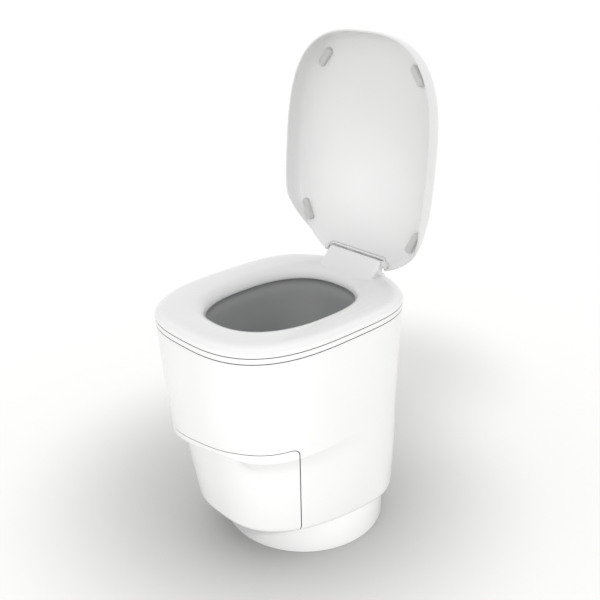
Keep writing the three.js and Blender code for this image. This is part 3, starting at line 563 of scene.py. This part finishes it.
# ---------------------------------------------------------------- body and drawer front
SEAM_SLOPE, SEAM_CENTRE, SEAM_CORNER = 0.155, 279.5, 15.0
SEAM_SIDE = (0.682, 0.7313, 0.0154, -5.33)  # plane of the upright seams: normal and distance, for |x|
SEAM_GAP = 1.6
EDGE_ROUND = 0.7
SEAM_HALF = 0.7  # half the width of the two level seams
ROUND_STEPS = (0.08, 0.3, 0.6)  # shares of EDGE_ROUND at which a rounded edge gets a line of edges
BUTTON = dict(y=40.0, z=440.0, x=-187.6)
INLET = dict(x=95.0, z=118.0)
COVER = dict(half=72.0, low=130.0, high=430.0, corner=6.0)


def seam_distance(points):
    """Distance from the drawer seam: negative on the panel's side."""
    x, y, z = points.T
    a = SEAM_SIDE[0] * np.abs(x) + SEAM_SIDE[1] * y + SEAM_SIDE[2] * z - SEAM_SIDE[3] + SEAM_CORNER
    a = a + 0.035 * np.maximum(0, 97 - z) ** 2  # the upright seam hooks forward at its foot
    b = z - SEAM_SLOPE * x + 6.5 * smooth((x - 95) / 75) - SEAM_CENTRE + SEAM_CORNER
    return np.minimum(np.maximum(a, b), 0) + np.hypot(np.maximum(a, 0), np.maximum(b, 0)) - SEAM_CORNER


def slab_distance(u, v, half_u, half_v, corner):
    """Distance outside a rounded rectangle, negative inside."""
    a, b = np.abs(u) - half_u + corner, np.abs(v) - half_v + corner
    return np.minimum(np.maximum(a, b), 0) + np.hypot(np.maximum(a, 0), np.maximum(b, 0)) - corner


def cover_distance(points):
    x, y, z = points.T
    middle, half = (COVER["low"] + COVER["high"]) / 2, (COVER["high"] - COVER["low"]) / 2
    return np.where(y > 60, slab_distance(x, z - middle, COVER["half"], half, COVER["corner"]), 99.0)


def body_distance(points):
    x, y, z = points.T
    inlet = np.where(y > 60, np.hypot(x - INLET["x"], z - INLET["z"]) - 9.8, 99.0)
    button = np.where(x < -60, np.hypot(y - BUTTON["y"], z - BUTTON["z"]) - 14.7, 99.0)
    bottom = np.where(z < 90, np.hypot(x, y) - 62, 99.0)
    top = BAND_BASE - SEAM_HALF - z
    return np.minimum.reduce([seam_distance(points), cover_distance(points), inlet, button, bottom, top])


def drawer_distance(points):
    return -seam_distance(points) - SEAM_GAP


def inside_opening(points):
    return -seam_distance(points)


def outside_panel(points):
    return seam_distance(points) + SEAM_GAP


def drawer_seam_shade_distance(points):
    return np.minimum(inside_opening(points), outside_panel(points))


def body_and_drawer():
    outer, inner = body_rows(0.0), body_rows(WALL)
    shell = Sheet(outer, inner)
    shell.cut(body_distance, 0.0)
    shell.lines(body_distance, [s * EDGE_ROUND for s in ROUND_STEPS] + [EDGE_ROUND])
    skin = shell.solid(body_distance, EDGE_ROUND)
    make("body_skin", skin, WHITE, "body", "white_gloss", "body_shell", sharp=50)
    panel = Sheet(outer, inner)
    panel.cut(drawer_distance, 0.0)
    panel.lines(drawer_distance, [s * EDGE_ROUND for s in ROUND_STEPS] + [EDGE_ROUND])
    brackets = [block(x - 8, x + 8, -216, -176, 112, 118, 1) for x in (-70, 70)]
    front = panel.solid(drawer_distance, EDGE_ROUND)
    make("drawer_panel", front, WHITE, "drawer", "white_gloss", "drawer_front", sharp=50)
    make("drawer_brackets", joined(*brackets), DARK, "drawer", "dark_plastic")
    # Near-black rubber behind the drawer seam: painted shade standing in for the shadow deep in the seam
    # gap.
    seam_shade = Sheet(body_rows(0.6), body_rows(4.2))
    seam_shade.cut(inside_opening, 0.1)
    seam_shade.cut(outside_panel, 0.1)
    make("drawer_seam_shade", seam_shade.solid(drawer_seam_shade_distance, 0.1), RUBBER, "body", "rubber")


def rear_cover():
    """Panel over the works in the rear wall, with five air slots."""
    middle, half = (COVER["low"] + COVER["high"]) / 2, (COVER["high"] - COVER["low"]) / 2
    columns = np.linspace(-COVER["half"] - 3, COVER["half"] + 3, 76)

    def rows(inset):
        made = []
        bands = (126, 366, 4.0), (366, 420, 1.0), (420, 436, 2.0)  # finest where the slots are
        levels = np.concatenate([np.arange(*band) for band in bands])
        for z in levels:
            dense = np.linspace(math.pi / 2 - 1.2, math.pi / 2 + 1.2, 900)
            if z > CREASE:
                ring = outline(upper_shape(z), inset, dense)
            else:
                ring = row_below_crease(CREASE - z, inset, 0.0, 0.0, dense)[:, :2]
            y = np.interp(columns, ring[::-1, 0], ring[::-1, 1])
            made.append(np.stack([columns[::-1], y[::-1], np.full(len(columns), z)], 1))
        return np.array(made)

    def distance(points):
        x, _, z = points.T
        edge = -slab_distance(x, z - middle, COVER["half"] - 0.7, half - 0.7, COVER["corner"])
        slots = [slab_distance(x, z - (374 + 9 * k), 34, 2, 1.9) for k in range(5)]
        return np.minimum.reduce([edge] + slots)

    panel = Sheet(rows(0.0), rows(WALL), closed=False)
    panel.cut(distance, 0.0)
    panel.lines(distance, [0.25, 0.7])
    make("rear_panel", panel.solid(distance, 0.7), WHITE, "body", "white_gloss", "rear_cover", sharp=50)


# ---------------------------------------------------------------- band, seat, bowl
def edge_row(level, inset):
    return at_height(outline(SEAT_EDGE, inset), level)


def hole_row(level, outset):
    return at_height(outline(SEAT_HOLE, -outset), level)


def band():
    """Ring between the two dark seams (their dark is painted shade), the deck that carries the bowl, and
    the hinge knuckles.
    """
    low, high = BAND_BASE + SEAM_HALF, BAND_TOP - SEAM_HALF
    rows = [edge_row(low, 7), edge_row(low, 1.1), edge_row(low + 0.12, 0.6), edge_row(low + 0.45, 0.2),
            edge_row(low + 1.1, 0), edge_row(high - 1.1, 0), edge_row(high - 0.45, 0.2),
            edge_row(high - 0.12, 0.6), edge_row(high, 1.1), edge_row(high, 5.7), edge_row(high - 0.3, 6),
            edge_row(493.2, 6), hole_row(493.2, 10.4), hole_row(493, 10), hole_row(low + 0.2, 10),
            hole_row(low, 10.4)]
    knuckles = []
    for x0, x1 in ((-45, -20.4), (20.4, 45)):
        profile = fillet([(x0, 2.2, 0), (x0, 5, 0.8), (x1, 5, 0.8), (x1, 2.2, 0)], closed=False)
        knuckles.append(lathe("x", (190, 500), profile, 40))
        knuckles.append(block(x0 + 0.4, x1 - 0.4, 176, 189, 494, 499.3, 0.6))
    make("band", loop_solid(rows), WHITE, "body", "white_gloss", "band_ring", sharp=50)
    # Near-black rubber rings behind the two level seams: painted shade standing in for the shadow deep in
    # the seam gaps.
    for name, level in (("seam_shade_low", BAND_BASE), ("seam_shade_high", BAND_TOP)):
        corners = (level - 0.8, 4.2), (level - 0.8, 0.6), (level + 0.5, 0.6), (level + 0.5, 4.2)
        seam_shade = [edge_row(*corner) for corner in corners]
        make(name, loop_solid(seam_shade), RUBBER, "body", "rubber")
    make("seat_knuckles", joined(*knuckles), WHITE, "body", "white_gloss")


PIVOT_Y, PIVOT_Z = 150.796, 543.551  # the lid's axis
LID_OPEN_ANGLE = math.radians(93.85)
HINGE_HALF, HINGE_RADIUS, ROD_RADIUS = 72.6, 6.4, 3.2
# Section of the seat: levels with insets from its edge, then levels with outsets from its hole.
CROWN = [(500.6, 0.9), (500.85, 0.3), (501.6, 0.07), (504, 0.2), (508.3, 2), (511.4, 5), (515.8, 9.4),
         (518.9, 16), (520, 27)]
THROAT = [(519.6, 44), (518, 31), (514, 17), (507.5, 7), (500, 1.6), (493.2, 0.1), (492.4, 0.6)]
UNDER_THROAT = [(492.4, 2.6), (493.2, 3.2), (501, 5.4), (508.5, 12), (513.4, 23)]
UNDER_EDGE = [(515.4, 27), (512, 12), (506, 5.6), (501.4, 4.6), (500.6, 4.2)]


def hinge_block():
    """Housing that ramps up from the seat and rounds over the lid's axis."""
    y, z = PIVOT_Y, PIVOT_Z
    arc = []
    for a in np.radians(np.linspace(-48, 96, 13)):
        arc.append((y + HINGE_RADIUS * math.sin(a), z + HINGE_RADIUS * math.cos(a)))
    ramp = [(101, 500), (107, 509.6), (112.5, 515.8), (118, 521), (124, 526.8),
            (130, 532.6), (137, 539.6)]
    section = np.array(ramp + arc + [(y + 7.2, 534), (y + 8.4, 522), (y + 8.6, 512)])
    centre = np.array([y - 12, 522])
    rows = []
    round_end = 8.0
    turns = np.linspace(0, math.pi / 2, 8)
    ends = []
    for a in turns:
        ends.append((HINGE_HALF - round_end * (1 - math.sin(a)), round_end * (1 - math.cos(a))))
    left_end = [(-x, inset) for x, inset in reversed(ends)]
    middle = [(x, 0.0) for x in np.linspace(-60, 60, 9)]
    stations = left_end + middle + ends
    away = section - centre
    away /= np.linalg.norm(away, axis=1, keepdims=True)
    for x, inset in stations:
        flat = section - away * inset
        rows.append(np.column_stack([np.full(len(flat), x), flat]))
    return capped_solid([row[::-1] for row in rows])


def seat():
    rows = [edge_row(*p) for p in CROWN] + [hole_row(*p) for p in THROAT]
    rows += [hole_row(*p) for p in UNDER_THROAT] + [edge_row(*p) for p in UNDER_EDGE]
    ring = loop_solid(catmull(rows, 4))
    profile = fillet([(-20, 2.2, 0), (-20, 5, 0.8), (20, 5, 0.8), (20, 2.2, 0)], closed=False)
    knuckle = lathe("x", (190, 500), profile, 40)
    deck = united("deck", ring, hinge_block())
    make("seat_ring", deck, WHITE, "seat", "white_gloss", "seat_deck", sharp=48)
    bridge = block(-19.6, 19.6, 176, 189, 500.8, 504.4, 0.6)
    make("seat_knuckle", joined(knuckle, bridge), WHITE, "seat", "white_gloss")


OUTLET_Y, OUTLET_RADIUS, VALVE_TOP = -45.0, 48.0, 294.0
BOWL_PROFILE = [(495.2, 4.6, 0), (484, 4.2, 0), (470, 0, 0.03), (440, -3, 0.14), (400, -3, 0.4),
                (355, 0, 0.78), (320, 0, 1)]
BOWL_FLANGE = [(484, 7.4), (493, 7.4), (493.5, 8), (493.5, 19.6), (494, 20), (495, 19.8),
               (495.3, 19.2), (495.3, 6)]


def outlet_row(radius, level):
    ring = dict(a=radius, front=OUTLET_Y - radius, rear=OUTLET_Y + radius, wide=OUTLET_Y,
                pf=2, qf=2, pr=2, qr=2)
    return at_height(outline(ring), level)


def bowl():
    def row(level, outset, share, extra):
        return lerp(hole_row(level, outset + extra), outlet_row(OUTLET_RADIUS + extra, level), share)
    rows = [row(*p, 0) for p in BOWL_PROFILE]
    for extra, above in ((0, 3.4), (0.4, 3), (2.6, 3), (3, 3.4)):
        rows.append(outlet_row(OUTLET_RADIUS + extra, VALVE_TOP + above))
    rows += [row(*p, 3) for p in reversed(BOWL_PROFILE[2:])]
    rows += [hole_row(*p) for p in BOWL_FLANGE]
    make("bowl_shell", loop_solid(catmull(rows, 5)), BOWL, "body", "grey_bowl", "bowl")


# ---------------------------------------------------------------- lid
LID_SHUT, LID_DEPTH, LID_WALL = 509.5, 44.0, 3.6
DISH = [(-8, 0.05), (0, 0.05), (12, 0.6), (24, 2.6), (33, 6.5), (39, 13), (42.5, 24), (44, 44)]
NOTCH_HALF, NOTCH_FRONT, NOTCH_CORNER = 76.0, PIVOT_Y - 5.5, 9.0
LIP_FRONT = PIVOT_Y - 10.7


def open_turn():
    """From the shut lid, in which the lid is drawn, to the open one of the rest pose."""
    pivot = Vector((0, PIVOT_Y * MM, PIVOT_Z * MM))
    turn = Matrix.Rotation(-LID_OPEN_ANGLE, 4, "X")
    return Matrix.Translation(pivot) @ turn @ Matrix.Translation(-pivot)


def rim_rise(y):
    """The skirt gets lower along a straight slope and dies out in the plate at the rear."""
    past = y - 52
    return np.minimum(40.0, 0.265 * (past + np.hypot(past, 12)))


def lid_distance(points):
    x, y, z = points.T
    rim = z - LID_SHUT - rim_rise(y)
    notch = slab_distance(x, y - NOTCH_FRONT - 60, NOTCH_HALF, 60, NOTCH_CORNER)
    return np.minimum(rim, notch)


def lid_rows(shrink, drop):
    control = []
    for height, inset in DISH:
        level = LID_SHUT + height - drop * clamp01(height / LID_DEPTH)
        fuller = 1 - 0.8 * smooth((outline(LID_RIM, 0, LID_ANGLES)[:, 1] - 50) / 90)
        control.append(at_height(outline(LID_RIM, inset * fuller + shrink, LID_ANGLES), level))
    rows = list(catmull(control, 7, closed=False))
    last = rows[-1]
    centre = np.array([0.0, -58.0, LID_SHUT + LID_DEPTH - drop])
    swell = 1.6
    for f in np.linspace(0, 0.985, 30)[1:]:
        flat = lerp(last, centre, f)
        flat[:, 2] += swell * (1 - (1 - f) ** 2)
        rows.append(flat)
    return np.array(rows)


LID_ANGLES = even_angles(LID_RIM, AROUND)


def lid_shell():
    outer, inner = lid_rows(0.0, 0.0), lid_rows(LID_WALL, LID_WALL)
    sheet = Sheet(outer, inner)
    tip = (len(outer) - 1) * AROUND
    sheet.faces.append(tuple(range(tip, tip + AROUND)))
    sheet.cut(lid_distance, 0.0)
    sheet.lines(lid_distance, [0.1, 0.4, 0.9, 1.4])
    return sheet.solid(lid_distance, 1.4, both_sides=True)


def rounded_bar(path, half_width, low, high, radius=1.2):
    """Bar that follows a flat path, with its lower edges rounded."""
    path = np.asarray(path, float)
    along = np.gradient(path, axis=0)
    along /= np.linalg.norm(along, axis=1, keepdims=True)
    side = np.stack([-along[:, 1], along[:, 0]], 1)
    section = fillet([(-half_width, high, 0.2), (-half_width, low, radius),
                      (half_width, low, radius), (half_width, high, 0.2)])
    across, level = section[:, 0], section[:, 1]
    rows = []
    for p, s in zip(path, side):
        rows.append(np.stack([p[0] + s[0] * across, p[1] + s[1] * across, level], 1))
    return capped_solid([row[::-1] for row in rows])


def notch_path(outset, front):
    """Path round the notch, `outset` beyond the middle line of its lip."""
    edge = NOTCH_HALF + 1.7 + outset
    round_lip = NOTCH_CORNER + 1.7 + outset
    ahead = front - outset
    corners = [(-edge, 160, 0), (-edge, ahead, round_lip), (edge, ahead, round_lip), (edge, 160, 0)]
    path = fillet(corners, 10, closed=False)
    dense = [path[0]]
    for p in path[1:]:
        steps = max(1, int(np.linalg.norm(p - dense[-1]) / 4))
        start = dense[-1]
        dense += [lerp(start, p, (s + 1) / steps) for s in range(steps)]
    return dense


def lid():
    turn = open_turn()
    make("lid_skin", lid_shell(), WHITE, "lid", "white_gloss", "lid_shell", turn=turn, sharp=60)
    lip_low, lip_high = LID_SHUT + 37, LID_SHUT + 42.5
    lip = rounded_bar(notch_path(0, LIP_FRONT), 1.75, lip_low, lip_high)
    make("lid_notch_lip", lip, WHITE, "lid", "white_gloss", turn=turn, sharp=50)
    # Grey strip under the lip: painted shade standing in for the shadow in the gap between the lip and
    # the hinge block.
    shade_strip = block(-73, 73, NOTCH_FRONT - 1, PIVOT_Y - 3, 550.7, 552.6, 0.5)
    make("lid_notch_shade_strip", shade_strip, PAD, "lid", "pad_grey", turn=turn)
    # Thin grey bar beside the lip: painted shade standing in for the shadow in the corner between the lip
    # and the plate.
    shade_line = rounded_bar(notch_path(2.6, LIP_FRONT), 0.8, LID_SHUT + 39.9, LID_SHUT + 41.5, 0.3)
    make("lid_notch_shade_line", shade_line, PAD, "lid", "pad_grey", turn=turn)
    lugs = []
    for side in (-1, 1):
        x = side * (HINGE_HALF + 7.2)
        profile = fillet([(x - 4.8, 3.3, 0), (x - 4.8, 7, 1.4), (x + 4.8, 7, 1.4), (x + 4.8, 3.3, 0)],
                         closed=False)
        lug_top = LID_SHUT + LID_DEPTH - 2.5
        lugs += [lathe("x", (PIVOT_Y, PIVOT_Z), profile, 48),
                 block(x - 4.4, x + 4.4, PIVOT_Y - 8, PIVOT_Y + 6, PIVOT_Z, lug_top, 1.4)]
    make("lid_lugs", joined(*lugs), WHITE, "lid", "white_gloss", turn=turn, sharp=50)
    reach = HINGE_HALF + 10.6
    profile = fillet([(-reach, 0, 0), (-reach, ROD_RADIUS, 0.7), (reach, ROD_RADIUS, 0.7), (reach, 0, 0)],
                     closed=False)
    rod = lathe("x", (PIVOT_Y, PIVOT_Z), profile, 40)
    make("lid_rod", rod, STEEL, "lid", "steel", "lid_hinge_rod", turn=turn)
    for k, place in enumerate(LID_PADS, 1):
        make(f"lid_pad_{k}", lid_pad(*place), PAD, "lid", "pad_grey", f"lid_bumper_{k}", turn=turn)


# x, y, angle, length and width of each pad
LID_PADS = [(-120, -238, -52, 44, 15), (118, -225, 52, 44, 15), (-149, 83, 64, 48, 15),
            (143, 88, -64, 48, 15)]
# level and share of the full width, from a pad's crown down to where it stays straight
PAD_CROWN = [(539.6, 0.45), (539.75, 0.62), (540.3, 0.76), (541.4, 0.88), (543, 0.96), (545, 1.0)]


def lid_pad(x, y, angle, length, width):
    t = circle_angles(64)
    top = LID_SHUT + LID_DEPTH - LID_WALL - 0.4
    rows = []
    for level, share in PAD_CROWN + [(top, 1.0)]:
        half = width / 2 * share
        straight = (length - width) / 2
        u = straight * np.sign(np.cos(t)) + half * np.cos(t)
        v = half * np.sin(t)
        c, s = math.cos(math.radians(angle)), math.sin(math.radians(angle))
        rows.append(np.stack([x + u * c - v * s, y + u * s + v * c, np.full(64, level)], 1))
    return capped_solid(rows)


foot()
body_and_drawer()
rear_cover()
band()
seat()
bowl()
lid()

# ---------------------------------------------------------------- CAD nodes that stay as they are
SLOT_OF = {part["node"]: part["material_slot"] for part in frame["record"]["subparts"]}
for node, piece in NODES.items():
    piece.data.materials.clear()
    piece.data.materials.append(FINISH[SLOT_OF[node]])


# ---------------------------------------------------------------- camera, floor and light
def camera():
    azimuth, down, roll = math.radians(46.404), math.radians(23.582), math.radians(-0.181)
    level = Vector((-math.sin(azimuth), math.cos(azimuth), 0))
    forward = level * math.cos(down) - Vector((0, 0, math.sin(down)))
    right = Vector((math.cos(azimuth), math.sin(azimuth), 0))
    up = right.cross(forward)
    right = right * math.cos(roll) + up * math.sin(roll)
    up = right.cross(forward)
    data = bpy.data.cameras.new("camera")
    data.lens, data.sensor_width = 49.25, 36.0
    eye = bpy.data.objects.new("camera", data)
    turn = Matrix((right, up, -forward)).transposed().to_4x4()
    eye.matrix_world = Matrix.Translation((1.0858, -1.0437, 1.1449)) @ turn
    bpy.context.scene.collection.objects.link(eye)
    bpy.context.scene.camera = eye


def soft_shade(tree, centre, near, far, least):
    """Painted shade factor that rises smoothly from `least` to 1 between two distances from a point on
    the floor.
    """
    coords = tree.nodes.new("ShaderNodeTexCoord")
    away = tree.nodes.new("ShaderNodeVectorMath")
    away.operation = "DISTANCE"
    away.inputs[1].default_value = centre
    tree.links.new(coords.outputs["Object"], away.inputs[0])
    fade = tree.nodes.new("ShaderNodeMapRange")
    fade.interpolation_type = "SMOOTHSTEP"
    for socket, value in (("From Min", near), ("From Max", far), ("To Min", least), ("To Max", 1.0)):
        fade.inputs[socket].default_value = value
    tree.links.new(away.outputs["Value"], fade.inputs["Value"])
    return fade.outputs["Result"]


def floor():
    """Pale disc whose colour is darkened by two round patches of painted shadow: one at the foot and one
    behind it towards -X.
    """
    mesh = bpy.data.meshes.new("floor")
    work = bmesh.new()
    bmesh.ops.create_circle(work, cap_ends=True, segments=96, radius=14)
    work.to_mesh(mesh)
    work.free()
    ground = bpy.data.objects.new("floor", mesh)
    bpy.context.scene.collection.objects.link(ground)
    material, tree, principled = shader("floor_paper_painted_shadow", (0.46, 0.458, 0.454), 0.9)
    # The two factors multiply the floor's colour: painted shadow round the object, not a shadow cast by a
    # lamp.
    painted_shadow_factor = tree.nodes.new("ShaderNodeMath")
    painted_shadow_factor.operation = "MULTIPLY"
    tree.links.new(soft_shade(tree, (-0.1, 0, 0), 0.2, 0.65, 0.67), painted_shadow_factor.inputs[0])
    tree.links.new(soft_shade(tree, (-0.3, 0.6, 0), 0.08, 0.48, 0.76), painted_shadow_factor.inputs[1])
    paper_with_painted_shadow = spread(tree, painted_shadow_factor.outputs["Value"], (0, 0, 0), (0.464, 0.462, 0.458), 0, 1)
    tree.links.new(paper_with_painted_shadow, principled.inputs["Base Color"])
    mesh.materials.append(material)


def only_on(lamp, *names):
    """Keeps a lamp's light on the named pieces."""
    lit = bpy.data.collections.new(lamp.name + "_on")
    for name in names:
        lit.objects.link(bpy.data.objects[name])
    lamp.light_linking.receiver_collection = lit


def area_light(name, place, target, size, power, cone, *lit):
    data = bpy.data.lights.new(name, "AREA")
    data.shape = "DISK"
    data.size = size
    data.energy = power
    data.spread = math.radians(cone)
    lamp = bpy.data.objects.new(name, data)
    lamp.location = place
    lamp.rotation_euler = (Vector(target) - Vector(place)).to_track_quat("-Z", "Y").to_euler()
    bpy.context.scene.collection.objects.link(lamp)
    only_on(lamp, *lit)


def light():
    world = bpy.data.worlds.new("studio")
    world.use_nodes = True
    world.node_tree.nodes["Background"].inputs["Color"].default_value = (1, 1, 1, 1)
    world.node_tree.nodes["Background"].inputs["Strength"].default_value = 1.06
    bpy.context.scene.world = world
    area_light("front", (1.45, -1.4, 0.3), (0, -0.1, 0.2), 0.8, 4.2, 100,
               "body_skin", "drawer_panel", "band", "rear_panel", "seat_ring")
    area_light("foot_side", (1.7, -0.8, 1.5), (0, -0.05, 0.04), 0.3, 8.0, 100, "foot")
    area_light("lid_fill", (0.3, -0.5, 0.78), (-0.02, 0.16, 0.66), 0.12, 0.05, 34,
               "lid_skin", "lid_notch_lip")
    data = bpy.data.lights.new("floor_sun", "SUN")
    data.angle = math.radians(120)
    data.energy = 3.5
    sun = bpy.data.objects.new("floor_sun", data)
    sun.rotation_euler = Vector((-0.15, 0.2, -1)).to_track_quat("-Z", "Y").to_euler()
    bpy.context.scene.collection.objects.link(sun)
    only_on(sun, "floor")
    bpy.context.scene.view_settings.view_transform = "Standard"


camera()
floor()
light()
